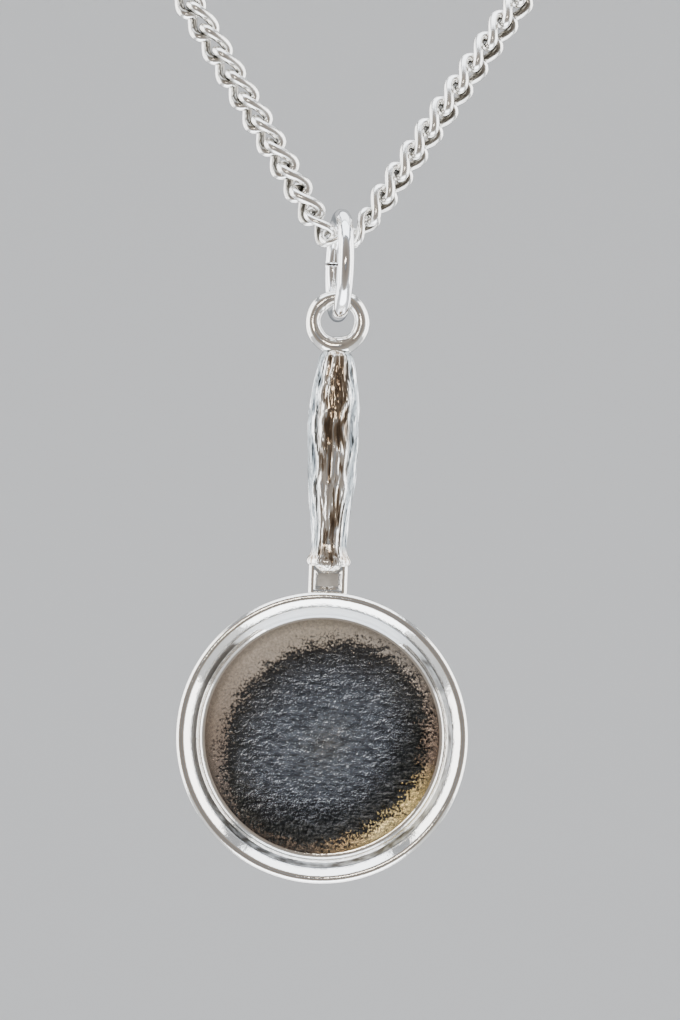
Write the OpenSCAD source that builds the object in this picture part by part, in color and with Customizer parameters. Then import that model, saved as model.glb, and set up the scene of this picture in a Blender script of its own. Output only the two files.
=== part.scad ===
// Frying pan charm hanging from a jump ring on a fine curb chain necklace.
// Millimetres, +Z up. The origin is the middle of the clasp at the nape,
// and the front of the charm faces -Y.

/* [Pan] */
// Diameter across the pan's lip
pan_d = 14.6; // [13:0.1:17]
// Depth of the pan from the front of the lip to its back
pan_depth = 2.4; // [2.1:0.1:3]
// Diameter of the flat floor
floor_d = 11.2; // [9:0.1:11.6]
// Thickness of the floor
floor_t = 0.5; // [0.4:0.05:0.8]
// Thickness of the rounded lip
lip_d = 0.74; // [0.6:0.02:0.9]
// Diameter of the flat underside
back_d = 11.8; // [10:0.1:12.2]
// How far the lip stands in front of the handle's middle
pan_front = 1.64; // [1.1:0.01:1.7]

/* [Handle] */
// Height of the hanging loop's centre above the pan's centre
loop_reach = 20.87; // [20.6:0.01:21.1]
// Depth of the handle from front to back, as a share of its width
handle_flat = 0.86; // [0.7:0.01:1]
// Height of the wood-like ridges cast on the handle
ridge_h = 0.055; // [0:0.005:0.08]
// Width of the plain neck between handle and pan
neck_w = 1.95; // [1.6:0.05:2.2]
// Depth of the neck from front to back
neck_t = 1.4; // [1.1:0.05:1.7]
// Width of the bare sunk panel on the neck
panel_w = 0.95; // [0.6:0.05:1.3]
// Depth of the sunk panel
panel_sink = 0.07; // [0.03:0.01:0.15]

/* [Loop and jump ring] */
// Outer diameter of the loop cast on the handle's end
loop_d = 3.2; // [3.1:0.05:3.5]
// Wire thickness of that loop
loop_wire = 0.73; // [0.6:0.01:0.74]
// Outer diameter of the jump ring
ring_d = 5.7; // [5.6:0.05:6.2]
// Wire thickness of the jump ring
ring_wire = 0.8; // [0.7:0.01:0.82]
// Turn of the jump ring about the vertical
ring_turn = 6; // [0:1:10]
// Width of the cut in the jump ring, at its back
ring_cut = 0.06; // [0.04:0.01:0.2]
// Clearance between the jump ring and the charm's loop
loop_gap = 0.09; // [0.05:0.01:0.15]
// Drop from the lowest link's centre to the jump ring's centre
ring_drop = 1.4; // [1.36:0.01:1.42]

/* [Chain] */
// Length of the whole necklace, clasp included
necklace_length = 457; // [440:1:475]
// Length of chain that each link takes up
pitch = 1.35; // [1.34:0.01:1.36]
// Half length of a link, to the middle of its wire
link_a = 0.915; // [0.91:0.005:0.925]
// Half width of a link, to the middle of its wire
link_b = 0.53; // [0.52:0.01:0.55]
// How far a link's wire rises and dips from flat
link_c = 0.33; // [0.32:0.01:0.35]
// Thickness of a link's wire, clear of its neighbours
wire_d = 0.36; // [0.3:0.01:0.36]
// Thickness of the wire of the three links at the jump ring
low_wire_d = 0.25; // [0.2:0.01:0.26]
// Links modelled one by one on each side of the lowest link
front_links = 24; // [14:1:30]
// Links on each side of the lowest link, along the whole chain
side_links = 165; // [150:1:170]
// Angle of the strands above the horizontal
strand_angle = 58; // [54:1:62]
// Slope of the necklace from vertical at its lowest point
tip_slope = 5; // [0:1:15]
// Slope of the necklace from vertical at the nape
nape_slope = 75; // [60:1:80]

/* [Clasp] */
// Length of the clasp's barrel
barrel_l = 8.4; // [8.2:0.1:8.4]
// Diameter of the clasp's barrel
barrel_d = 2.3; // [1.8:0.1:3]

/* [Hidden] */
silver = "silver";

// Round parts are drawn with this many sides
$fn = 96;

// Sections of the handle, from the collar at the neck up to the loop:
// height above the pan's centre, half width
handle_rows = [
    [8.38, 0.72],
    [8.50, 0.93],
    [8.65, 1.04],
    [8.85, 1.10],
    [9.20, 1.03],
    [9.65, 0.94],
    [10.05, 0.91],
    [10.90, 0.98],
    [11.80, 1.11],
    [12.65, 1.20],
    [14.40, 1.28],
    [15.25, 1.31],
    [16.10, 1.31],
    [16.95, 1.23],
    [17.80, 1.12],
    [18.68, 0.97],
    [19.15, 0.84],
    [19.42, 0.62],
    [19.52, 0.38]
];
handle_rings = 46;
handle_sides = 24;
handle_front = 8.9;
handle_end = 19.4;
ridge_fade = 1.2;

// Waves of the ridges: share of their height, waves round the handle,
// how far they wander sideways, how fast, and where they start
ridge_waves = [
    [0.45, 7, 60, 40, 0],
    [0.35, 11, -70, 31, 50],
    [0.30, 4, 90, 23, 120]
];

// Roundings where the pan's wall meets its underside and its floor
foot_round = 0.4;
floor_round = 0.4;

// How far the neck's bar runs into the pan's rim, and up to the handle
neck_sink = 1.2;
neck_top = 8.6;
neck_edge = 0.22;

// Height of the bare panel, and of its middle above the pan's centre
panel_h = 0.5;
panel_z = 7.92;

// Outline of the clasp's barrel: share of its half length, share of its radius
barrel_rows = [[1, 0], [1, 0.6], [0.84, 0.92], [0.64, 1]];

// Eyes at the ends of the barrel
eye_r = 0.62;
eye_wire = 0.36;

// Turn of the chain's flat side, from facing front (0) to facing outwards (90),
// by the number of links away from the lowest one
roll_left = [[0, 88], [1, 80], [3, 60], [10, 28], [24, 28], [100, 80], [165, 90]];
roll_right = [[0, 88], [1, 82], [3, 66], [10, 46], [24, 44], [100, 80], [165, 90]];

// The two links next to the lowest one stand a little flatter than the strands
knee_angle = 55;
link_steps = 12;
link_sides = 6;

// Plan of the necklace laid flat: lowest link, knee link, straight strand, neck circle
half_length = necklace_length / 2;
knee_x = pitch / 2 + pitch * cos(knee_angle);
knee_h = pitch * sin(knee_angle);
neck_turn = 180 - strand_angle;
neck_r = (half_length - 1.5 * pitch + knee_x / cos(strand_angle))
    / (tan(strand_angle) + neck_turn * PI / 180);
strand_l = (neck_r * sin(strand_angle) - knee_x) / cos(strand_angle);
neck_h = knee_h + strand_l * sin(strand_angle) + neck_r * cos(strand_angle);
nape_h = neck_h + neck_r;
drape_r = nape_h / ((nape_slope - tip_slope) * PI / 180);

// Place and heading on the flat plan, a distance past the knee link
function plan_past(d) = d < strand_l
    ? [knee_x + d * cos(strand_angle), knee_h + d * sin(strand_angle), strand_angle]
    : let (a = strand_angle + (d - strand_l) / neck_r * 180 / PI)
        [neck_r * sin(a), neck_h - neck_r * cos(a), a];

// The same for a link, counted from the lowest one
function plan_link(n) = n == 0 ? [0, 0, 0]
    : n == 1 ? [(pitch / 2 + knee_x) / 2, knee_h / 2, knee_angle]
    : plan_past((n - 1.5) * pitch);
function plan_side(p, side) = [side * p[0], p[1], side * p[2]];

// The flat plan is laid over the chest, steep in front and flatter at the nape
function slope(h) = tip_slope + (nape_slope - tip_slope) * h / nape_h;
function lay(x, h) = [
    x,
    (cos(nape_slope) - cos(slope(h))) * drape_r,
    (sin(slope(h)) - sin(nape_slope)) * drape_r
];
function up_dir(h) = [0, sin(slope(h)), cos(slope(h))];
function front_dir(h) = [0, -cos(slope(h)), sin(slope(h))];

// Axes of the chain at a plan point: along, across and the way its flat faces
function axes(p, roll) =
    let (
        along = cos(p[2]) * [1, 0, 0] + sin(p[2]) * up_dir(p[1]),
        outward = sin(p[2]) * [1, 0, 0] - cos(p[2]) * up_dir(p[1]),
        face = cos(roll) * front_dir(p[1]) + sin(roll) * outward
    ) [along, cross(face, along), face];
function unit(v) = v / norm(v);
function roll_at(n, side) = lookup(n, side < 0 ? roll_left : roll_right);

// Where things hang
tip = lay(0, 0);
ring_r = (ring_d - ring_wire) / 2;
loop_r = (loop_d - loop_wire) / 2;
ring_z = tip[2] - ring_drop;
loop_z = ring_z - ring_r + (ring_wire + loop_wire) / 2 + loop_gap - loop_r;
pan_z = loop_z - loop_reach;
lip_r = (pan_d - lip_d) / 2;

// Faces of a tube of rings, closed on itself or capped at both ends
function tube_faces(rings, sides, closed) = concat(
    [for (i = [0 : rings - (closed ? 1 : 2)], j = [0 : sides - 1], half = [0, 1])
        let (i2 = (i + 1) % rings, j2 = (j + 1) % sides)
        half == 0
            ? [i * sides + j, i * sides + j2, i2 * sides + j2]
            : [i * sides + j, i2 * sides + j2, i2 * sides + j]],
    closed ? [] : [
        [for (j = [sides - 1 : -1 : 0]) j],
        [for (j = [0 : sides - 1]) (rings - 1) * sides + j]
    ]
);

// One curb link, twisted so that it lies flat in the chain
module link(n, side, wire) {
    p = plan_side(plan_link(n), side);
    frame = axes(p, roll_at(n, side));
    centre = lay(p[0], p[1]);
    points = [for (i = [0 : link_steps - 1])
        let (
            t = 360 * i / link_steps,
            at = centre + link_a * cos(t) * frame[0] + link_b * sin(t) * frame[1]
                - link_c * sin(2 * t) * frame[2],
            heading = unit(-link_a * sin(t) * frame[0] + link_b * cos(t) * frame[1]
                - 2 * link_c * cos(2 * t) * frame[2]),
            sideways = unit(cross(heading, frame[2])),
            upward = cross(sideways, heading)
        )
        for (j = [0 : link_sides - 1])
            let (a = 360 * j / link_sides)
            at + wire / 2 * (cos(a) * sideways + sin(a) * upward)];
    polyhedron(points, tube_faces(link_steps, link_sides, true));
}

module chain_front() {
    color(silver) {
        link(0, 1, low_wire_d);
        for (side = [-1, 1], n = [1 : front_links])
            link(n, side, n == 1 ? low_wire_d : wire_d);
    }
}

// The rest of the chain, a plain oval tube as wide and thick as the links
tube_rings = 36;
tube_sides = 8;
tube_clear = 0.17;
eye_x = half_length - (side_links + 1) * pitch + link_a - eye_r;
module chain_side(side) {
    first = (front_links - 1.5) * pitch + link_a + wire_d / 2 + tube_clear;
    last = half_length - 1.5 * pitch - (eye_x + eye_r + eye_wire / 2 + tube_clear);
    points = [for (i = [0 : tube_rings - 1])
        let (
            d = first + (last - first) * i / (tube_rings - 1),
            p = plan_side(plan_past(d), side),
            frame = axes(p, roll_at(d / pitch + 1.5, side))
        )
        for (j = [0 : tube_sides - 1])
            let (a = -side * 360 * j / tube_sides)
            lay(p[0], p[1]) + (link_b + wire_d / 2) * cos(a) * frame[1]
                + (link_c + wire_d / 2) * sin(a) * frame[2]];
    polyhedron(points, tube_faces(tube_rings, tube_sides, false));
}

module chain_back() {
    color(silver) {
        chain_side(-1);
        chain_side(1);
    }
}

// Barrel clasp with an eye at each end, one plain piece
module clasp() {
    color(silver)
    rotate([90 - nape_slope, 0, 0]) {
        for (side = [-1, 1]) {
            rotate([0, side * 90, 0])
                rotate_extrude()
                    polygon(concat(
                        [[0, 0]],
                        [for (i = [0 : len(barrel_rows) - 1])
                            [barrel_rows[i][1] * barrel_d / 2, barrel_rows[i][0] * barrel_l / 2]],
                        [[barrel_d / 2, 0]]
                    ));
            translate([side * eye_x, 0, 0])
                rotate_extrude()
                    translate([eye_r, 0])
                        circle(d = eye_wire);
        }
    }
}

// Round jump ring in the upright plane, front edge turned to the right
module jump_ring() {
    cut_angle = ring_cut / ring_r * 180 / PI;
    color(silver)
    translate([0, tip[1], ring_z])
        rotate([0, 0, ring_turn])
            rotate([0, 90, 0])
                rotate([0, 0, 90 + cut_angle / 2])
                    rotate_extrude(angle = 360 - cut_angle)
                        translate([ring_r, 0])
                            circle(d = ring_wire);
}

// A quarter of a rounding, from facing outwards to facing back
function quarter(centre, r) = [for (a = [0 : 22.5 : 90]) centre + r * [cos(a), sin(a)]];

// Outer form of the pan without its lip, drawn from the axis outwards
module pan_outside() {
    polygon(concat(
        [[0, lip_d], [lip_r, lip_d / 2], [lip_r + lip_d * 0.4, lip_d * 0.8]],
        quarter([back_d / 2 - foot_round / 2, pan_depth - foot_round], foot_round),
        [[0, pan_depth]]
    ));
}

// The hollow of the pan, open at the front
module pan_hollow() {
    wall_r = lip_r - lip_d * 0.4;
    floor_at = pan_depth - floor_t;
    polygon(concat(
        [[0, -lip_d], [lip_r, -lip_d], [lip_r, 0], [wall_r, lip_d * 0.6]],
        quarter([floor_d / 2, floor_at - floor_round], floor_round),
        [[0, floor_at]]
    ));
}

// Ridges of the handle: a few waves round it that wander along its length
function total(values) = values * [for (v = values) 1];
function ridges(a, z) = total([for (w = ridge_waves)
    w[0] * sin(w[1] * a + w[2] * sin(w[3] * z) + w[4])]);
function handle_fade(z) = max(0,
    min(1, (z - handle_front) / ridge_fade, (handle_end - z) / ridge_fade));

module handle() {
    first = handle_rows[0][0];
    last = handle_rows[len(handle_rows) - 1][0];
    points = [for (i = [0 : handle_rings - 1])
        let (
            // rings stand closer together at both ends
            u = i / (handle_rings - 1),
            z = first + (last - first) * (u - sin(360 * u) / 18),
            r = lookup(z, handle_rows),
            relief = ridge_h * handle_fade(z)
        )
        for (j = [0 : handle_sides - 1])
            let (a = -360 * j / handle_sides, s = r + relief * ridges(a, z))
            [s * cos(a), s * sin(a) * handle_flat, z]];
    polyhedron(points, tube_faces(handle_rings, handle_sides, false));
}

// Plain block between handle and pan, its long edges chamfered
module neck() {
    w = neck_w / 2;
    t = neck_t / 2;
    e = neck_edge;
    translate([0, 0, pan_d / 2 - neck_sink])
        linear_extrude(neck_top - pan_d / 2 + neck_sink)
            polygon([
                [-w + e, -t], [w - e, -t], [w, -t + e], [w, t - e],
                [w - e, t], [-w + e, t], [-w, t - e], [-w, -t + e]
            ]);
}

// Pan, neck, handle and loop, cast as one
module pan_charm() {
    color(silver)
    translate([0, tip[1], pan_z]) {
        difference() {
            union() {
                translate([0, -pan_front, 0])
                    rotate([-90, 0, 0]) {
                        rotate_extrude() pan_outside();
                        rotate_extrude()
                            translate([lip_r, lip_d / 2])
                                circle(d = lip_d);
                    }
                neck();
            }
            translate([0, -pan_front, 0])
                rotate([-90, 0, 0])
                    rotate_extrude() pan_hollow();
            translate([-panel_w / 2, -neck_t, panel_z - panel_h / 2])
                cube([panel_w, neck_t / 2 + panel_sink, panel_h]);
        }
        handle();
        translate([0, 0, loop_reach])
            rotate([90, 0, 0])
                rotate_extrude()
                    translate([loop_r, 0])
                        circle(d = loop_wire);
    }
}

pan_charm();
jump_ring();
chain_front();
chain_back();
clasp();
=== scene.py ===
"""Frying pan charm on a curb chain necklace: its finish, the studio and the camera.

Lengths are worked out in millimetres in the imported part's own frame, and a
piece becomes metres when it is finished. +Z is up and the charm faces -Y.
"""

from math import atan2, cos, hypot, pi, radians, sin, tan

import bmesh
import bpy
from mathutils import Matrix, Vector, noise


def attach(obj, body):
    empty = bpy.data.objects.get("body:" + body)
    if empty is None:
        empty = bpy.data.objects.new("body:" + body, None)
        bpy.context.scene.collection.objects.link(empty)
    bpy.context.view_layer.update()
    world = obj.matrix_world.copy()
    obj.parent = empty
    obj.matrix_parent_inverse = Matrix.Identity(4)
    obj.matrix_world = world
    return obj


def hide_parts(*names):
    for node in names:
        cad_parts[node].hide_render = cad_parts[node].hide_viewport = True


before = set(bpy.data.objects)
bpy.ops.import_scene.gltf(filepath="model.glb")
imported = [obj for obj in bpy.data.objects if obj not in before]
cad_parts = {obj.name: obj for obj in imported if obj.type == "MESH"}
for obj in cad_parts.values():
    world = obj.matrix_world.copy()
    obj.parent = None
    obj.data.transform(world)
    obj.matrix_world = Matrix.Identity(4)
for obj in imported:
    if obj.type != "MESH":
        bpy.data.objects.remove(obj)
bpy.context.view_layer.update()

MM = 0.001
Z = Vector((0, 0, 1))


# Sizes, mostly those of the part's source, and closer to the photograph where looks need it

PITCH = 1.35
HALF_LENGTH = 457 / 2  # of the necklace, from its lowest link to the middle of its clasp
# Half length, half width, twist and wire of a link, of those beside the lowest and of the lowest
LINK_A, LINK_B, LINK_C, LINK_WIRE = 0.925, 0.49, 0.38, 0.5
TIGHT_A, TIGHT_B, TIGHT_C, TIGHT_WIRE = 0.915, 0.53, 0.33, 0.4
LOW_A, LOW_B, LOW_C, LOW_WIRE = 0.915, 0.47, 0.30, 0.34
SIDE_LINKS, CLOSE_LINKS = 165, 24  # on each side of the lowest link, and those seen close
# Steps round a link and sides of its wire, for the close ones and for the rest
CLOSE_STEPS, CLOSE_SIDES = 36, 12
FAR_STEPS, FAR_SIDES = 16, 6
STRAND = radians(58)  # how steeply each side climbs on the flat plan
KNEE = radians(55)  # the same for the first link beside the lowest one
TIP_SLOPE, NAPE_SLOPE = radians(5), radians(75)  # of chest and neck, back from upright
# How far the links are turned over, by their count from the lowest one
ROLL_LEFT = [(0, 88), (1, 80), (3, 62), (6, 48), (10, 36), (24, 30), (100, 80), (165, 90)]
ROLL_RIGHT = [(0, 88), (1, 82), (3, 68), (10, 54), (24, 46), (100, 80), (165, 90)]

RING_R, RING_WIRE, RING_TURN, RING_CUT = 2.45, 0.8, radians(7.5), 0.12
RING_CUT_AT = pi / 2 + 0.06  # from the ring's lowest point round to the back
RING_DROP = 1.4  # of its middle below the middle of the lowest link
LOOP_R, LOOP_WIRE, LOOP_GAP = 1.22, 0.76, 0.06
LOOP_REACH = 20.87  # of its middle above the pan's
PAN_FRONT = 1.64  # from the handle's middle line forward to the pan's lip
FLOOR_R, FLOOR_AT, PAN_DEPTH = 5.85, 1.9, 2.4  # depths are from the front of the lip
DISH = 0.024 / 5.05 ** 3  # the floor rises by this times the fourth power of its radius
PAN_ROUND = 0.4  # where the wall meets the floor and the back
WALL_R, TOP_WALL_R, LIP_R, LIP_DEPTH = 6.28, 6.0, 6.52, 0.4  # where the wall painted with shade ends
NECK_W, NECK_T, NECK_TOP, NECK_ROUND = 1.95, 1.4, 8.6, 0.26
NECK_FOOT, NECK_LEAN = 6.3, 0.64  # its foot is lower at the back, by this for each millimetre
PANEL_W, PANEL_H, PANEL_Z, PANEL_SLOPE, PANEL_SINK = 1.4, 1.0, 7.9, 0.25, 0.17
EYE_R, EYE_WIRE, BARREL_L, BARREL_D = 0.62, 0.36, 8.4, 2.3  # of the clasp

# Sections of the handle: height above the pan's centre, half width
HANDLE_ROWS = [
    (8.36, 0.66), (8.40, 0.82), (8.50, 0.93), (8.60, 1.02), (8.70, 1.09), (8.80, 1.13),
    (8.90, 1.12), (9.02, 1.04), (9.20, 0.95), (9.65, 0.86), (10.05, 0.84), (10.90, 0.91),
    (11.80, 1.05), (12.65, 1.15), (14.40, 1.24), (15.25, 1.27), (16.10, 1.27), (16.95, 1.19),
    (17.80, 1.08), (18.68, 0.94), (19.15, 0.82), (19.42, 0.61), (19.52, 0.38),
]
HANDLE_FLAT = 0.86  # its depth as a share of its width

# Plan of the necklace laid flat: knee link, straight strand, neck circle
KNEE_X = PITCH / 2 + PITCH * cos(KNEE)
KNEE_H = PITCH * sin(KNEE)
NECK_R = (HALF_LENGTH - 1.5 * PITCH + KNEE_X / cos(STRAND)) / (tan(STRAND) + pi - STRAND)
STRAND_L = (NECK_R * sin(STRAND) - KNEE_X) / cos(STRAND)
NECK_H = KNEE_H + STRAND_L * sin(STRAND) + NECK_R * cos(STRAND)
NAPE_H = NECK_H + NECK_R
DRAPE_R = NAPE_H / (NAPE_SLOPE - TIP_SLOPE)


def lookup(x, rows):
    """The value at x in rows of (x, value), straight between them."""
    if x <= rows[0][0]:
        return rows[0][1]
    for (x0, v0), (x1, v1) in zip(rows, rows[1:]):
        if x <= x1:
            return v0 + (v1 - v0) * (x - x0) / (x1 - x0)
    return rows[-1][1]


def plan_past(d):
    """Place and heading on the flat plan, a distance past the knee link."""
    if d < STRAND_L:
        return KNEE_X + d * cos(STRAND), KNEE_H + d * sin(STRAND), STRAND
    turn = STRAND + (d - STRAND_L) / NECK_R
    return NECK_R * sin(turn), NECK_H - NECK_R * cos(turn), turn


def plan_link(n):
    """Place and heading of link n on the flat plan."""
    if n == 0:
        return 0, 0, 0
    if n == 1:
        return (PITCH / 2 + KNEE_X) / 2, KNEE_H / 2, KNEE
    return plan_past((n - 1.5) * PITCH)


def slope(h):
    """How far the chest or neck leans back at a height on the flat plan."""
    return TIP_SLOPE + (NAPE_SLOPE - TIP_SLOPE) * h / NAPE_H


def lay(x, h):
    """A point of the flat plan, laid over the chest."""
    return Vector((
        x,
        (cos(NAPE_SLOPE) - cos(slope(h))) * DRAPE_R,
        (sin(slope(h)) - sin(NAPE_SLOPE)) * DRAPE_R,
    ))


def link_place(n, side):
    """Where link n lies: x along the chain, z the way its flat side faces."""
    x, h, heading = plan_link(n)
    x, heading = side * x, side * heading
    roll = radians(lookup(n, ROLL_LEFT if side < 0 else ROLL_RIGHT))
    right = Vector((1, 0, 0))
    up = Vector((0, sin(slope(h)), cos(slope(h))))
    front = Vector((0, -cos(slope(h)), sin(slope(h))))
    along = cos(heading) * right + sin(heading) * up
    outward = sin(heading) * right - cos(heading) * up
    face = cos(roll) * front + sin(roll) * outward
    place = Matrix((along, face.cross(along), face)).transposed().to_4x4()
    place.translation = lay(x, h)
    return place


TIP = lay(0, 0)
RING_AT = TIP - RING_DROP * Z
LOOP_AT = RING_AT - (RING_R - (RING_WIRE + LOOP_WIRE) / 2 - LOOP_GAP + LOOP_R) * Z
PAN_AT = LOOP_AT - LOOP_REACH * Z


# Materials

def colour(code):
    """An sRGB hex colour as linear RGBA."""
    values = [int(code[i:i + 2], 16) / 255 for i in (1, 3, 5)]
    return [v / 12.92 if v <= 0.04045 else ((v + 0.055) / 1.055) ** 2.4 for v in values] + [1]


def connect(tree, node, inputs):
    """Sets inputs; each is a value, a node, which gives its first output, or one output."""
    for socket, value in inputs.items():
        if isinstance(value, bpy.types.Node):
            value = value.outputs[0]
        if isinstance(value, bpy.types.NodeSocket):
            tree.links.new(value, node.inputs[socket])
        else:
            node.inputs[socket].default_value = value


def add(tree, kind, inputs=None, stops=(), **settings):
    """Adds a node with its inputs and settings; stops are a ramp's (place, hex colour)."""
    made = tree.nodes.new(kind)
    for name, value in settings.items():
        setattr(made, name, value)
    connect(tree, made, inputs or {})
    if stops:
        ramp = made.color_ramp.elements
        ramp[0].position, ramp[1].position = stops[0][0], stops[-1][0]
        for at, code in stops[1:-1]:
            ramp.new(at)
        for element, (at, code) in zip(ramp, stops):
            element.color = colour(code)
    return made


def new_material(name):
    """A material with its tree, its shader and the place on the object."""
    material = bpy.data.materials.new(name)
    material.use_nodes = True
    tree = material.node_tree
    place = tree.nodes.new("ShaderNodeTexCoord").outputs["Object"]
    return material, tree, tree.nodes["Principled BSDF"], place


def per_mm(count):
    """A pattern's scale from its features to the millimetre."""
    return count / MM


def drawn_wire_silver():
    """Sterling wire, drawn and barrel polished: sharp reflections, faintly wavy."""
    material, tree, shader, place = new_material("drawn_wire_silver")
    wave = add(tree, "ShaderNodeTexNoise", {"Vector": place, "Scale": per_mm(0.9), "Detail": 2})
    tone = add(tree, "ShaderNodeValToRGB", {"Fac": wave}, [(0, "#e6e6e8"), (1, "#f8f8f7")])
    bump = add(tree, "ShaderNodeBump", {
        "Height": wave, "Strength": 0.15, "Distance": 0.05 * MM})
    connect(tree, shader, {"Base Color": tone, "Normal": bump, "Metallic": 1, "Roughness": 0.09})
    return material


def curb_chain_silver():
    """Sterling curb chain, tumbled after soldering: bright outside, with painted shade where the wire
    faces into the links.
    """
    material, tree, shader, place = new_material("curb_chain_silver")
    wave = add(tree, "ShaderNodeTexNoise", {"Vector": place, "Scale": per_mm(1.6), "Detail": 3})
    inside = add(tree, "ShaderNodeAttribute", attribute_name="inside").outputs["Fac"]
    # painted shade darkens the links where the wire faces inward
    film = add(tree, "ShaderNodeMath", {0: wave, 1: 0.6, 2: inside}, operation="MULTIPLY_ADD")
    tone = add(tree, "ShaderNodeValToRGB", {"Fac": film}, [
        (0.25, "#f7f6f3"), (0.5, "#dddbd6"), (1, "#6a665f")])
    bump = add(tree, "ShaderNodeBump", {
        "Height": wave, "Strength": 0.35, "Distance": 0.05 * MM})
    connect(tree, shader, {"Base Color": tone, "Normal": bump, "Metallic": 1, "Roughness": 0.22})
    return material


def cast_silver():
    """Lost-wax cast sterling, hand polished: mirror bright with a soft ripple."""
    material, tree, shader, place = new_material("cast_silver")
    ripple = add(tree, "ShaderNodeTexNoise", {
        "Vector": place, "Scale": per_mm(1.4), "Detail": 3})
    pits = add(tree, "ShaderNodeTexNoise", {"Vector": place, "Scale": per_mm(9), "Detail": 2})
    height = add(tree, "ShaderNodeMath", {0: ripple, 1: 4, 2: pits}, operation="MULTIPLY_ADD")
    bump = add(tree, "ShaderNodeBump", {
        "Height": height, "Strength": 0.2, "Distance": 0.02 * MM})
    tone = add(tree, "ShaderNodeValToRGB", {"Fac": ripple}, [(0, "#e9e6e0"), (1, "#f9f8f5")])
    connect(tree, shader, {"Base Color": tone, "Normal": bump, "Metallic": 1, "Roughness": 0.1})
    return material


def grooved_silver():
    """The handle's cast silver: bright ridges, brown tarnish in its front's grooves, and flanks
    painted a darker blue-grey as painted shade.
    """
    material, tree, shader, place = new_material("grooved_silver")
    depth = add(tree, "ShaderNodeAttribute", attribute_name="groove").outputs["Fac"]
    grain = add(tree, "ShaderNodeMapping", {"Vector": place, "Scale": (1, 1, 0.14)})
    streaks = add(tree, "ShaderNodeTexNoise", {
        "Vector": grain, "Scale": per_mm(5), "Detail": 2})
    bump = add(tree, "ShaderNodeBump", {
        "Height": streaks, "Strength": 0.7, "Distance": 0.1 * MM})
    lines = add(tree, "ShaderNodeMath", {
        0: streaks, 1: -3.2, 2: 1.56}, operation="MULTIPLY_ADD", use_clamp=True)
    film = add(tree, "ShaderNodeMath", {0: depth, 1: 0.75, 2: lines}, operation="MULTIPLY_ADD")
    tone = add(tree, "ShaderNodeValToRGB", {"Fac": film}, [
        (0.28, "#f4f2ee"), (0.45, "#a39483"), (0.95, "#6a5c4f")])
    # the flanks get their own darker blue-grey, a painted shade
    skin = add(tree, "ShaderNodeValToRGB", {"Fac": film}, [
        (0.06, "#f0f2f3"), (0.3, "#90979b"), (0.9, "#4c5257")])
    flank = add(tree, "ShaderNodeAttribute", attribute_name="flank").outputs["Fac"]
    both = add(tree, "ShaderNodeMix", {0: flank, 6: tone, 7: skin}, data_type="RGBA")
    connect(tree, shader, {
        "Base Color": both.outputs[2], "Normal": bump, "Metallic": 1, "Roughness": 0.12})
    return material


def tarnished_silver(name, dark, light):
    """Silver under a patchy film: tarnish where a polishing mop can't reach in the neck's panel, and
    painted shade on the pan's wall and in the ring's cut; its shader is finished apart.
    """
    material, tree, shader, place = new_material(name)
    patches = add(tree, "ShaderNodeTexNoise", {
        "Vector": place, "Scale": per_mm(1.5), "Detail": 4})
    tone = add(tree, "ShaderNodeValToRGB", {"Fac": patches}, [
        (0.3, dark), (0.7, light), (1, "#f4f8fb")])
    bump = add(tree, "ShaderNodeBump", {
        "Height": patches, "Strength": 0.3, "Distance": 0.03 * MM})
    connect(tree, shader, {"Base Color": tone, "Normal": bump, "Roughness": 0.28})
    return material, tree, shader, patches, tone


def recess_tarnish():
    """The neck's sunk panel, half under a dull grey film."""
    material, tree, shader = tarnished_silver("recess_tarnish", "#8f8880", "#c4beb6")[:3]
    connect(tree, shader, {"Metallic": 0.5})
    return material


def wall_tarnish():
    """The pan's wall and the ring's cut: painted near black as painted shade, and painted matt white
    as painted light at the wall's top, more faintly at its right and bottom.
    """
    material, tree, shader, patches, tone = tarnished_silver(
        "wall_tarnish", "#1f1b18", "#443f3a")
    wiped = add(tree, "ShaderNodeAttribute", attribute_name="wiped").outputs["Fac"]
    # painted light: lighter, matt and less metallic toward the wall's top
    clean = add(tree, "ShaderNodeMath", {0: wiped, 1: patches}, operation="ADD")
    bare = add(tree, "ShaderNodeMath", {0: wiped, 1: -0.9, 2: 1}, operation="MULTIPLY_ADD")
    connect(tree, tone, {"Fac": clean})
    connect(tree, shader, {"Metallic": bare})
    return material


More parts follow.
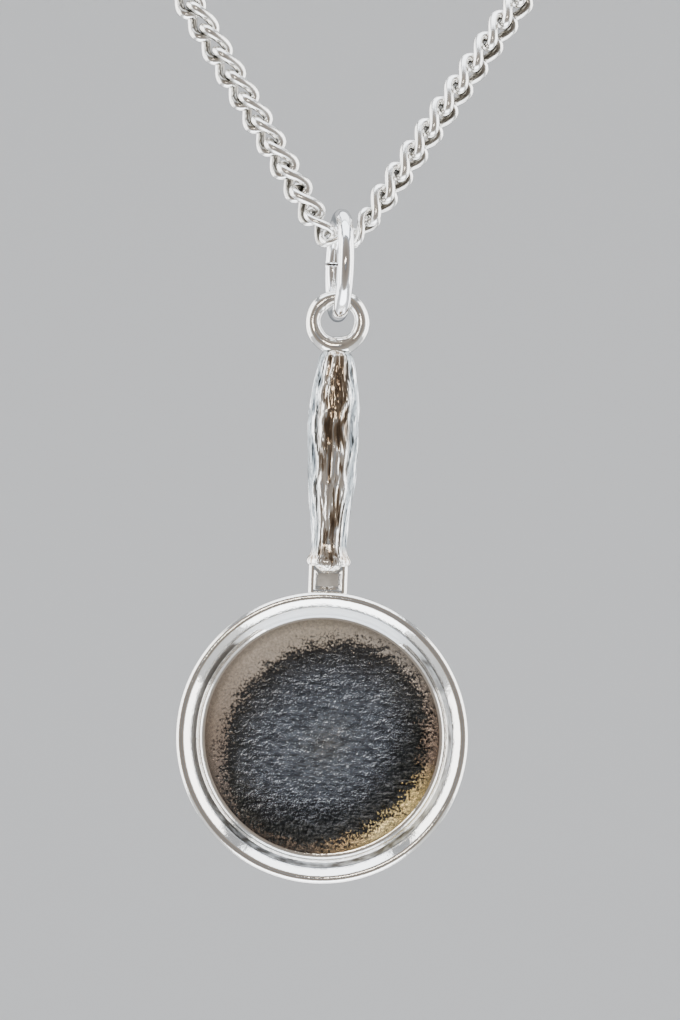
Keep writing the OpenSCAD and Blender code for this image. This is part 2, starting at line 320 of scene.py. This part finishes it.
def darkened_pan_floor():
    """Silver floor painted with its reflections: a blue-grey middle, a black edge, and a ring in
    beige, brown and gold, the gold a painted highlight, with painted shade where it meets the wall.
    """
    material, tree, shader, place = new_material("darkened_pan_floor")
    # the floor seen flat, in millimetres from the pan's middle, right and down
    flat = add(tree, "ShaderNodeMapping", {
        "Vector": place, "Scale": (1 / MM, 0, 1 / MM), "Rotation": (pi / 2, 0, 0),
        "Location": (-PAN_AT.x, PAN_AT.z, 0)})
    out = add(tree, "ShaderNodeVectorMath", {0: flat}, operation="LENGTH").outputs["Value"]
    oval = add(tree, "ShaderNodeMapping", {
        "Vector": flat, "Location": (0.17, 0.38, 0), "Rotation": (0, 0, -pi / 4),
        "Scale": (1.095, 0.955, 1)}, vector_type="TEXTURE")
    radius = add(tree, "ShaderNodeVectorMath", {0: oval}, operation="LENGTH").outputs["Value"]
    # the speckles are drawn a little coarser than the real ones, or they wouldn't show
    waves = add(tree, "ShaderNodeMapping", {"Vector": place, "Scale": (0.35, 1, 1)})
    ripple = add(tree, "ShaderNodeTexNoise", {
        "Vector": waves, "Scale": per_mm(3.2), "Detail": 2})
    swirl = add(tree, "ShaderNodeTexNoise", {
        "Vector": waves, "Scale": per_mm(6), "Detail": 3, "Roughness": 0.6})
    peel = add(tree, "ShaderNodeTexNoise", {
        "Vector": place, "Scale": per_mm(4.5), "Detail": 3, "Roughness": 0.65})
    grain = add(tree, "ShaderNodeTexNoise", {"Vector": place, "Scale": per_mm(9), "Detail": 2})
    # share grows outwards to 1, where the painted reflection ring starts, and makes the edge ragged
    grainy = add(tree, "ShaderNodeMath", {0: grain, 1: 2, 2: radius}, operation="MULTIPLY_ADD")
    ragged = add(tree, "ShaderNodeMath", {0: ripple, 1: 1.2, 2: grainy}, operation="MULTIPLY_ADD")
    share = add(tree, "ShaderNodeMath", {0: ragged, 1: 7}, operation="DIVIDE")
    # the middle is painted blue-grey, a painted dark reflection
    middle = add(tree, "ShaderNodeValToRGB", {"Fac": share}, [
        (0.23, "#999da1"), (0.36, "#8f97a2"), (0.54, "#828a97"), (0.68, "#777e8a"),
        (0.79, "#6b7078"), (0.89, "#525456")])
    uneven = add(tree, "ShaderNodeMapRange", {
        "Value": swirl, "From Min": 0.3, "From Max": 0.7, "To Min": 0.48, "To Max": 1.5})
    # the painted black edge, a painted dark reflection, is made deepest at the lower right, where the
    # lamp would wash it out
    lower_right = add(tree, "ShaderNodeVectorMath", {
        0: flat, 1: (0.046, 0.069, 0)}, operation="DOT_PRODUCT").outputs["Value"]
    deepest = add(tree, "ShaderNodeMapRange", {
        "Value": lower_right, "From Min": 0, "From Max": 0.22, "To Min": 1, "To Max": 0.36})
    shade = add(tree, "ShaderNodeMapRange", {
        "Value": share, "From Min": 0.55, "From Max": 0.75, "To Min": 1, "To Max": deepest})
    mottled = add(tree, "ShaderNodeMath", {0: uneven, 1: shade}, operation="MULTIPLY")
    worn = add(tree, "ShaderNodeVectorMath", {0: middle, "Scale": mottled}, operation="SCALE")
    # painted reflections, clockwise from the left: beige on top, brown at the right, a painted gold
    # highlight below it, then brown
    bearing = add(tree, "ShaderNodeTexGradient", {"Vector": flat}, gradient_type="RADIAL")
    toning = add(tree, "ShaderNodeValToRGB", {"Fac": bearing.outputs["Fac"]}, [
        (0, "#bcab9b"), (0.125, "#e4d6c5"), (0.25, "#d8cbb8"), (0.375, "#d2c8bc"),
        (0.46, "#95867a"), (0.53, "#877568"), (0.585, "#ecd494"), (0.66, "#ffeab0"),
        (0.71, "#c4aa82"), (0.76, "#776b61"), (0.86, "#5d534b"), (0.93, "#9d9188"),
        (1, "#bcab9b")])
    # painted shade, darkest at the floor's edge where it meets the wall
    corner = add(tree, "ShaderNodeMapRange", {
        "Value": out, "From Min": 5.45, "From Max": 5.8, "To Min": 1, "To Max": 0.6})
    fleck = add(tree, "ShaderNodeMapRange", {
        "Value": grain, "From Min": 0.35, "From Max": 0.65, "To Min": 0.76, "To Max": 1.06})
    dusted = add(tree, "ShaderNodeMath", {0: corner, 1: fleck}, operation="MULTIPLY")
    ring = add(tree, "ShaderNodeVectorMath", {0: toning, "Scale": dusted}, operation="SCALE")
    edge = add(tree, "ShaderNodeMapRange", {
        "Value": share, "From Min": 0.925, "From Max": 0.995})
    tone = add(tree, "ShaderNodeMix", {0: edge, 6: worn, 7: ring}, data_type="RGBA")
    pebbles = add(tree, "ShaderNodeMath", {0: grain, 1: 0.25, 2: peel}, operation="MULTIPLY_ADD")
    height = add(tree, "ShaderNodeMath", {0: pebbles, 1: ripple}, operation="ADD")
    # rubbed smooth in the middle and at the upper left, pebbled at the lower right
    smooth = add(tree, "ShaderNodeMapRange", {
        "Value": share, "From Min": 0.5, "From Max": 0.8, "To Min": 0.4, "To Max": 0.6})
    rough = add(tree, "ShaderNodeMath", {
        0: edge, 1: lower_right, 2: smooth}, operation="MULTIPLY_ADD")
    bump = add(tree, "ShaderNodeBump", {
        "Height": height, "Strength": rough, "Distance": 0.05 * MM})
    dull = add(tree, "ShaderNodeMath", {0: edge, 1: -0.2, 2: 1}, operation="MULTIPLY_ADD")
    connect(tree, shader, {
        "Base Color": tone.outputs[2], "Normal": bump, "Metallic": dull, "Roughness": 0.17})
    return material


WIRE_SILVER = drawn_wire_silver()
CHAIN_SILVER = curb_chain_silver()
CAST_SILVER = cast_silver()
GROOVED_SILVER = grooved_silver()
RECESS_TARNISH = recess_tarnish()
WALL_TARNISH = wall_tarnish()
PAN_FLOOR = darkened_pan_floor()


# Pieces

def finish_piece(bm, name, body, materials, at=(0, 0, 0), stands_for=()):
    """Moves a piece made about its own middle to its place, in metres, and rides it on a body."""
    bmesh.ops.translate(bm, vec=Vector(at), verts=bm.verts)
    bmesh.ops.scale(bm, vec=(MM, MM, MM), verts=bm.verts)
    mesh = bpy.data.meshes.new(name)
    bm.to_mesh(mesh)
    bm.free()
    mesh.shade_smooth()
    for material in materials:
        mesh.materials.append(material)
    piece = bpy.data.objects.new(name, mesh)
    bpy.context.collection.objects.link(piece)
    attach(piece, body)
    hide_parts(*stands_for)
    return piece


def spun_wire(bm, ring_r, wire, steps, sides, angle=2 * pi):
    """A round ring of wire about the Z axis, from +X round; open where angle stops short."""
    profile = bmesh.ops.create_circle(
        bm, cap_ends=angle < 2 * pi, radius=wire / 2, segments=sides)["verts"]
    bmesh.ops.rotate(bm, verts=profile, matrix=Matrix.Rotation(pi / 2, 3, "X"))
    bmesh.ops.translate(bm, verts=profile, vec=(ring_r, 0, 0))
    around = set(e for v in profile for e in v.link_edges)
    faces = set(f for v in profile for f in v.link_faces)
    bmesh.ops.spin(
        bm, geom=[*profile, *around, *faces], axis=(0, 0, 1), cent=(0, 0, 0),
        angle=angle, steps=steps, use_merge=angle >= 2 * pi)


def outline(bm, points, steps):
    """Spins a profile of (radius, depth) points about the Y axis, depth going to +Y."""
    verts = [bm.verts.new((r, depth, 0)) for r, depth in points]
    edges = [bm.edges.new(pair) for pair in zip(verts, verts[1:])]
    bmesh.ops.spin(
        bm, geom=[*verts, *edges], axis=(0, 1, 0), cent=(0, 0, 0),
        angle=2 * pi, steps=steps, use_merge=True)
    bmesh.ops.remove_doubles(bm, verts=bm.verts, dist=1e-5)
    bmesh.ops.recalc_face_normals(bm, faces=bm.faces)


def arc(middle, r, start, end, steps):
    """Points of an arc, angles in degrees from outwards (0) to the back (90)."""
    return [
        (middle[0] + r * cos(radians(start + (end - start) * i / steps)),
         middle[1] + r * sin(radians(start + (end - start) * i / steps)))
        for i in range(steps + 1)]


def curb_link(half_length, half_width, twist, wire, steps=CLOSE_STEPS, sides=CLOSE_SIDES):
    """One link's mesh: a ring of wire pulled long, then twisted to lie flat in a chain."""
    bm = bmesh.new()
    spun_wire(bm, 1, wire, steps, sides)
    inside = bm.verts.layers.float.new("inside")
    for v in bm.verts:
        t = atan2(v.co.y, v.co.x)
        out, lift = hypot(v.co.x, v.co.y) - 1, v.co.z
        # painted shade, most where the wire faces into the link, 0 on its outer half
        v[inside] = max(0, min(1, -1.4 * out / wire))
        middle = Vector((half_length * cos(t), half_width * sin(t), -twist * sin(2 * t)))
        heading = Vector((
            -half_length * sin(t), half_width * cos(t), -2 * twist * cos(2 * t))).normalized()
        sideways = heading.cross(Z).normalized()
        v.co = middle + out * sideways + lift * sideways.cross(heading)
    bmesh.ops.recalc_face_normals(bm, faces=bm.faces)
    mesh = bpy.data.meshes.new("curb_link")
    bm.to_mesh(mesh)
    bm.free()
    return mesh


def lay_links(name, count_from, count_to, link, nearest=(), stands_for=()):
    """The links between two counts from the lowest, on both sides; the nearest have their own."""
    bm = bmesh.new()
    for n in range(count_from, count_to + 1):
        for side in ((-1, 1) if n else (1,)):
            one = (nearest[n] if n < len(nearest) else link).copy()
            one.transform(link_place(n, side))
            bm.from_mesh(one)
            bpy.data.meshes.remove(one)
    finish_piece(
        bm, name, "necklace", [CHAIN_SILVER], stands_for=stands_for)


# The lowest link is thinner and narrower, so that the ring clears it at both ends of its swing,
# and the two beside it are thinner so that they clear the ring's wire
lay_links(
    "chain_links_front", 0, CLOSE_LINKS, curb_link(LINK_A, LINK_B, LINK_C, LINK_WIRE),
    [curb_link(LOW_A, LOW_B, LOW_C, LOW_WIRE), curb_link(TIGHT_A, TIGHT_B, TIGHT_C, TIGHT_WIRE)],
    ["chain_front"])
lay_links(
    "chain_links_back", CLOSE_LINKS + 1, SIDE_LINKS,
    curb_link(LINK_A, LINK_B, LINK_C, LINK_WIRE, FAR_STEPS, FAR_SIDES),
    stands_for=["chain_back"])


def jump_ring():
    """Ring of drawn wire, cut through at the back where it was opened and closed."""
    bm = bmesh.new()
    cut = RING_CUT / RING_R
    sides, burr = 28, 1.09
    spun_wire(bm, RING_R, RING_WIRE, 120, sides, 2 * pi - cut)
    for v in bm.verts:  # a slight burr where the cutters squeezed the ends
        a = atan2(v.co.y, v.co.x)
        if min(abs(a), abs(a + cut)) < 1e-3:
            middle = Vector((RING_R * cos(a), RING_R * sin(a), 0))
            v.co = middle + burr * (v.co - middle)
    seam_r = RING_WIRE / 2 - 0.05  # a dark core filling the cut, a painted shadow
    seam = bmesh.ops.create_cone(
        bm, cap_ends=True, segments=sides, radius1=seam_r, radius2=seam_r,
        depth=RING_CUT + 0.1)["verts"]
    for face in set(f for v in seam for f in v.link_faces):
        face.material_index = 1
    bmesh.ops.rotate(bm, verts=seam, matrix=Matrix.Rotation(pi / 2, 3, "X"))
    bmesh.ops.translate(bm, verts=seam, vec=(RING_R, -RING_CUT / 2, 0))
    # its cut goes to the back, then the ring stands up and is turned a little
    bmesh.ops.rotate(bm, verts=bm.verts, matrix=Matrix.Rotation(cut / 2 + RING_CUT_AT, 3, "Z"))
    bmesh.ops.rotate(bm, verts=bm.verts, matrix=Matrix.Rotation(pi / 2, 3, "Y"))
    bmesh.ops.rotate(bm, verts=bm.verts, matrix=Matrix.Rotation(RING_TURN, 3, "Z"))
    bmesh.ops.recalc_face_normals(bm, faces=bm.faces)
    finish_piece(
        bm, "split_jump_ring", "ring", [WIRE_SILVER, WALL_TARNISH], RING_AT,
        ["jump_ring"])


jump_ring()


def pan_section():
    """From the middle of the pan's floor over the lip to the middle of its back."""
    radii = [FLOOR_R * i / 24 for i in range(24)]
    floor = [(r, FLOOR_AT - DISH * r ** 4) for r in radii]
    foot = FLOOR_AT - DISH * FLOOR_R ** 4 - PAN_ROUND
    inner_foot = arc((FLOOR_R, foot), PAN_ROUND, 82, 14, 9)
    wall = [(6.30, 1.2), (6.40, 0.82), (6.50, 0.50)]
    shoulder = arc((6.72, 0.48), 0.22, 190, 222, 3)
    lip = arc((7.05, 0.25), 0.25, 228, 360, 12)
    under_lip = [
        (7.30, 0.36), (7.27, 0.50), (7.19, 0.66), (6.95, 0.98), (6.65, 1.36), (6.36, 1.72)]
    outer_foot = arc((5.72, PAN_DEPTH - PAN_ROUND), PAN_ROUND, 30, 90, 6)
    back = [(5.0, PAN_DEPTH), (3.5, PAN_DEPTH), (1.8, PAN_DEPTH), (0, PAN_DEPTH)]
    return floor + inner_foot + wall + shoulder + lip + under_lip + outer_foot + back


def wall_top(at):
    """Above 0 at the top of the wall, where it is painted light."""
    return 0.75 * at.z + 0.05 * at.x - 2.9


def pan():
    """The pan itself, its floor a shallow dish so that its edge catches the light."""
    bm = bmesh.new()
    outline(bm, pan_section(), 240)
    wiped = bm.verts.layers.float.new("wiped")
    for v in bm.verts:  # the painted light reaches the right and the bottom too, more faintly
        v[wiped] = max(0, min(1, max(wall_top(v.co), 0.07 * v.co.x, -0.05 * v.co.z)))
    for face in bm.faces:
        middle = face.calc_center_median()
        out = hypot(middle.x, middle.z)
        wall_from = TOP_WALL_R if wall_top(middle) > 0.9 else WALL_R
        faces_in = face.normal.dot(middle) < 0
        if out < FLOOR_R and middle.y < PAN_DEPTH - 0.2:
            face.material_index = 1
        elif faces_in and wall_from < out < LIP_R and LIP_DEPTH < middle.y < FLOOR_AT:
            face.material_index = 2
    finish_piece(
        bm, "pan", "charm", [CAST_SILVER, PAN_FLOOR, WALL_TARNISH],
        PAN_AT - PAN_FRONT * Vector((0, 1, 0)), ["pan_charm"])


pan()


def hanging_loop():
    """Cast loop, a little uneven, its foot swollen where it flows into the handle."""
    bm = bmesh.new()
    spun_wire(bm, LOOP_R, LOOP_WIRE, 96, 28)
    for v in bm.verts:
        a = atan2(v.co.y, v.co.x)
        middle = Vector((LOOP_R * cos(a), LOOP_R * sin(a), 0))
        swell = 1 + 0.25 * max(0, -sin(a)) ** 3 + 0.04 * cos(5 * a + 0.7)
        v.co = middle + swell * (v.co - middle)
    bmesh.ops.rotate(bm, verts=bm.verts, matrix=Matrix.Rotation(pi / 2, 3, "X"))
    bmesh.ops.recalc_face_normals(bm, faces=bm.faces)
    finish_piece(bm, "hanging_loop", "charm", [CAST_SILVER], LOOP_AT)


hanging_loop()


def handle_half_width(z):
    """The handle's outline with the corners between its rows eased."""
    return sum(lookup(z + shift, HANDLE_ROWS) for shift in (-0.08, -0.04, 0, 0.04, 0.08)) / 5


def long_waves(at, z, across, along, start=0):
    """Noise with so many waves to the millimetre across and along the handle."""
    return noise.noise(Vector((across * at.x, across * at.y, along * z + start)))


def handle_relief(a, z):
    """Height of the cast ridges at an angle round the handle and a height, in millimetres."""
    core = 1.2  # the noise is read on a round bar of this radius
    wander = Vector((
        noise.noise(Vector((7, 0, 0.55 * z))), noise.noise(Vector((0, 9, 0.55 * z))), 0))
    at = Vector((core * cos(a), core * sin(a), 0)) + 0.3 * wander
    broad = long_waves(at, z, 1.2, 0.22)
    crest = 0.3 - abs(long_waves(at, z, 2.6, 0.3, 50))
    fine = long_waves(at, z, 4.6, 0.4, 20)
    finest = long_waves(at, z, 8, 0.7, 80)
    fade = max(0, min(1, (z - 9.0) / 0.9, (19.35 - z) / 0.8))
    return fade * (0.035 * broad + 0.07 * crest + 0.065 * fine + 0.035 * finest)


def handle():
    """The handle: a waisted bar whose long ridges wander like wood grain, flared at its foot."""
    bm = bmesh.new()
    bottom, top = HANDLE_ROWS[0][0], HANDLE_ROWS[-1][0]
    sides, rows = 144, 260
    bmesh.ops.create_cone(bm, cap_ends=True, segments=sides, radius1=1, radius2=1, depth=2)
    uprights = [e for e in bm.edges if abs(e.verts[0].co.z - e.verts[1].co.z) > 1]
    bmesh.ops.subdivide_edges(bm, edges=uprights, cuts=rows, use_grid_fill=True)
    groove = bm.verts.layers.float.new("groove")
    flank = bm.verts.layers.float.new("flank")
    for v in bm.verts:
        a = atan2(v.co.y, v.co.x)
        share = (v.co.z + 1) / 2
        # the rows lie closer together at both ends
        z = bottom + (top - bottom) * (share - sin(2 * pi * share) / 18)
        relief = handle_relief(a, z)
        r = handle_half_width(z) + relief
        # the flared foot dips at the front and at the back
        skirt = 0.14 * sin(a) ** 2 * max(0, min(1, (9.0 - z) / 0.5))
        v.co = Vector((r * cos(a), r * sin(a) * HANDLE_FLAT, z - skirt))
        # 1 in the grooves and on the flanks, whose darker blue-grey is painted shade, 0 on the ridges
        # and on the foot
        v[groove] = max(0, min(1, 0.5 - relief / 0.09, (z - 8.7) / 0.5))
        v[flank] = max(0, min(1, (abs(cos(a)) - 0.45) / 0.25, (z - 9.0) / 0.6))
    bmesh.ops.recalc_face_normals(bm, faces=bm.faces)
    finish_piece(bm, "ridged_handle", "charm", [GROOVED_SILVER], PAN_AT)


handle()


def neck():
    """Short bar between handle and pan, with a bare sloping-sided panel let into its front."""
    bm = bmesh.new()
    bmesh.ops.create_cube(bm, size=1)
    bmesh.ops.scale(bm, vec=(NECK_W, NECK_T, NECK_TOP - NECK_FOOT), verts=bm.verts)
    bmesh.ops.translate(bm, vec=(0, 0, (NECK_TOP + NECK_FOOT) / 2), verts=bm.verts)
    uprights = [e for e in bm.edges if abs(e.verts[0].co.z - e.verts[1].co.z) > 1]
    bmesh.ops.bevel(
        bm, geom=uprights, offset=NECK_ROUND, segments=5, affect="EDGES", profile=0.5,
        material=-1)
    for v in bm.verts:  # the foot follows the pan's wall and stays inside it
        if v.co.z < NECK_FOOT + 0.01:
            v.co.z -= NECK_LEAN * v.co.y
    for middle, normal in (
            ((-PANEL_W / 2, 0, 0), (1, 0, 0)), ((PANEL_W / 2, 0, 0), (1, 0, 0)),
            ((0, 0, PANEL_Z - PANEL_H / 2), (0, 0, 1)),
            ((0, 0, PANEL_Z + PANEL_H / 2), (0, 0, 1))):
        bmesh.ops.bisect_plane(
            bm, geom=[*bm.verts, *bm.edges, *bm.faces], plane_co=middle, plane_no=normal)
    panel = [f for f in bm.faces
             if f.normal.y < -0.9 and abs(f.calc_center_median().x) < PANEL_W / 2
             and abs(f.calc_center_median().z - PANEL_Z) < PANEL_H / 2]
    bmesh.ops.inset_region(bm, faces=panel, thickness=PANEL_SLOPE, depth=-PANEL_SINK)
    for face in panel:
        face.material_index = 1
    piece = finish_piece(
        bm, "neck", "charm", [CAST_SILVER, RECESS_TARNISH], PAN_AT)
    piece.data.set_sharp_from_angle(angle=radians(35))


neck()


def clasp():
    """Plain barrel clasp at the nape, an eye at each end."""
    bm = bmesh.new()
    half, r = BARREL_L / 2, BARREL_D / 2
    section = [
        (0, -half), (0.55, -half), (0.68, -half + 0.05), (r - 0.13, -3.6), (r - 0.03, -3.1),
        (r, -2.6)]
    section += [(r, -0.08), (r - 0.05, -0.04), (r - 0.05, 0.04), (r, 0.08)]
    section += [(out, -along) for out, along in reversed(section[:6])]
    outline(bm, section, 64)
    bmesh.ops.rotate(bm, verts=bm.verts, matrix=Matrix.Rotation(pi / 2, 3, "Z"))
    eye_x = HALF_LENGTH - (SIDE_LINKS + 1) * PITCH + LINK_A - EYE_R
    for side in (-1, 1):
        eye = bmesh.new()
        spun_wire(eye, EYE_R, EYE_WIRE, 40, 12)
        bmesh.ops.translate(eye, verts=eye.verts, vec=(side * eye_x, 0, 0))
        mesh = bpy.data.meshes.new("eye")
        eye.to_mesh(mesh)
        eye.free()
        bm.from_mesh(mesh)
        bpy.data.meshes.remove(mesh)
    bmesh.ops.rotate(bm, verts=bm.verts, matrix=Matrix.Rotation(pi / 2 - NAPE_SLOPE, 3, "X"))
    bmesh.ops.recalc_face_normals(bm, faces=bm.faces)
    finish_piece(
        bm, "barrel_clasp", "necklace", [WIRE_SILVER], stands_for=["clasp"])


clasp()


# Studio

FLOOR_LOW, FLOOR_FLAT, FLOOR_CURVE, FLOOR_TOP = -0.75, 2.6, 1, 1.9


def stage_object(bm, name, material):
    """A thing of the studio, in metres, that isn't part of the necklace."""
    mesh = bpy.data.meshes.new(name)
    bm.to_mesh(mesh)
    bm.free()
    mesh.shade_smooth()
    mesh.materials.append(material)
    made = bpy.data.objects.new(name, mesh)
    bpy.context.collection.objects.link(made)
    return made


def pale_floor():
    """Seamless pale floor that curves up all round, beyond every camera."""
    material, tree, shader = new_material("pale_studio_floor")[:3]
    connect(tree, shader, {"Base Color": colour("#e6e5e3"), "Roughness": 0.9})
    bm = bmesh.new()
    section = [(0, FLOOR_LOW), (1.2, FLOOR_LOW), (FLOOR_FLAT, FLOOR_LOW)]
    section += [
        (FLOOR_FLAT + FLOOR_CURVE * sin(radians(a)),
         FLOOR_LOW + FLOOR_CURVE - FLOOR_CURVE * cos(radians(a))) for a in range(10, 91, 10)]
    section += [(FLOOR_FLAT + FLOOR_CURVE, FLOOR_TOP)]
    verts = [bm.verts.new((r, 0, z)) for r, z in section]
    edges = [bm.edges.new(pair) for pair in zip(verts, verts[1:])]
    bmesh.ops.spin(
        bm, geom=[*verts, *edges], axis=(0, 0, 1), cent=(0, 0, 0),
        angle=2 * pi, steps=96, use_merge=True)
    bmesh.ops.remove_doubles(bm, verts=bm.verts, dist=1e-4)
    stage_object(bm, "studio_floor", material)


pale_floor()

CHARM = (PAN_AT + Vector((0, 0, 10))) * MM  # about the charm's middle, where the lights aim


def direction(right, up):
    """A direction from the charm, so many degrees right of and above the camera."""
    right, up = radians(right), radians(up)
    return Vector((sin(right) * cos(up), -cos(right) * cos(up), sin(up)))


def soft_light(name, right, up, away, size, power, tint, roll=0):
    """A soft box that shines on the charm and shows only as a reflection."""
    data = bpy.data.lights.new(name, "AREA")
    data.shape = "RECTANGLE"
    data.size, data.size_y = size
    data.energy = power
    data.color = colour(tint)[:3]
    made = bpy.data.objects.new(name, data)
    made.location = CHARM + away * direction(right, up)
    turn = direction(right, up).to_track_quat("Z", "Y").to_matrix()
    made.rotation_euler = (turn @ Matrix.Rotation(radians(roll), 3, "Z")).to_euler()
    made.visible_camera = False
    bpy.context.collection.objects.link(made)


for side, hand in ((-1, "left"), (1, "right")):
    soft_light(f"soft_{hand}", side * 77, 8, 0.45, (0.2, 0.6), 2.0, "#fffefc")
    soft_light(f"strip_{hand}", side * 105, 8, 0.45, (0.12, 0.6), 1.2, "#ffffff")
    soft_light(f"edge_{hand}", side * 130, 5, 0.5, (0.28, 0.6), 2.0, "#ffffff")
soft_light("soft_top", 0, 83, 0.45, (0.6, 0.32), 3.0, "#f2f8ff")
soft_light("soft_under", 0, -72, 0.45, (0.6, 0.32), 3.6, "#f2f8ff")
soft_light("edge_top", 0, 122, 0.5, (0.5, 0.3), 1.6, "#f8fbff")
soft_light("edge_under", 0, -122, 0.5, (0.5, 0.3), 1.6, "#f8fbff")
soft_light("warm_lamp", -8.3, 11.9, 0.27, (0.075, 0.024), 0.09, "#fff3e2", 35)


def dim_card(name, at, away, radius, tones):
    """A grey card that only reflections see; tones are (metres from its middle, colour)."""
    material = bpy.data.materials.new(name)
    material.use_nodes = True
    tree = material.node_tree
    tree.nodes.clear()
    place = add(tree, "ShaderNodeTexCoord").outputs["Object"]
    out = add(tree, "ShaderNodeVectorMath", {0: place}, operation="LENGTH").outputs["Value"]
    tone = add(tree, "ShaderNodeValToRGB", {"Fac": out}, tones)
    light = add(tree, "ShaderNodeEmission", {"Color": tone, "Strength": 1})
    add(tree, "ShaderNodeOutputMaterial", {"Surface": light})
    bm = bmesh.new()
    bmesh.ops.create_circle(bm, cap_ends=True, radius=radius, segments=64)
    card = stage_object(bm, name, material)
    card.location = CHARM + away * at
    card.rotation_euler = at.to_track_quat("Z", "Y").to_euler()
    card.visible_camera = False
    card.visible_diffuse = False
    card.visible_shadow = False
    card.visible_transmission = False


dim_card("front_card", direction(-3, 3), 0.29, 0.40,
         [(0.045, "#969aa0"), (0.065, "#877e76"), (0.1, "#9a9087"), (0.38, "#b9b3ac")])
dim_card("back_card", direction(180, -6), 0.35, 0.16, [(0.02, "#6f7378"), (0.15, "#a9adb0")])

# In reflections the air is less than half as bright, which gives the silver its greys
world = bpy.data.worlds.new("studio_air")
bpy.context.scene.world = world
world.use_nodes = True
air = world.node_tree.nodes["Background"]
rays = add(world.node_tree, "ShaderNodeLightPath")
level = add(world.node_tree, "ShaderNodeMath", {
    0: rays.outputs["Is Glossy Ray"], 1: -0.75, 2: 1.35}, operation="MULTIPLY_ADD")
connect(world.node_tree, air, {"Color": colour("#eff3fa"), "Strength": level})


# Camera

# The photograph shows 20 pixels to the millimetre, the pan's middle 18 pixels
# left of and 228 below its own middle, and the whole leaning 2.13 degrees
PIXELS = 20
PAN_LEFT, PAN_BELOW = 18 / PIXELS, 228 / PIXELS
FRAME_HEIGHT = 1020 / PIXELS
SENSOR = 36
CAMERA_AWAY = 300
LEAN = radians(2.13)


def photo_camera():
    """The camera at the photograph's place, aimed at the middle of its frame."""
    right = Vector((cos(LEAN), 0, sin(LEAN)))
    up = Vector((-sin(LEAN), 0, cos(LEAN)))
    middle = PAN_AT - PAN_FRONT * Vector((0, 1, 0)) + PAN_LEFT * right + PAN_BELOW * up
    data = bpy.data.cameras.new("photo_camera")
    data.sensor_width = SENSOR
    data.lens = SENSOR * CAMERA_AWAY / FRAME_HEIGHT
    data.clip_start, data.clip_end = 0.01, 20
    made = bpy.data.objects.new("photo_camera", data)
    back = right.cross(up)
    turn = Matrix((right, up, back)).transposed().to_4x4()
    turn.translation = (middle + CAMERA_AWAY * back) * MM
    made.matrix_world = turn
    bpy.context.collection.objects.link(made)
    bpy.context.scene.camera = made


photo_camera()
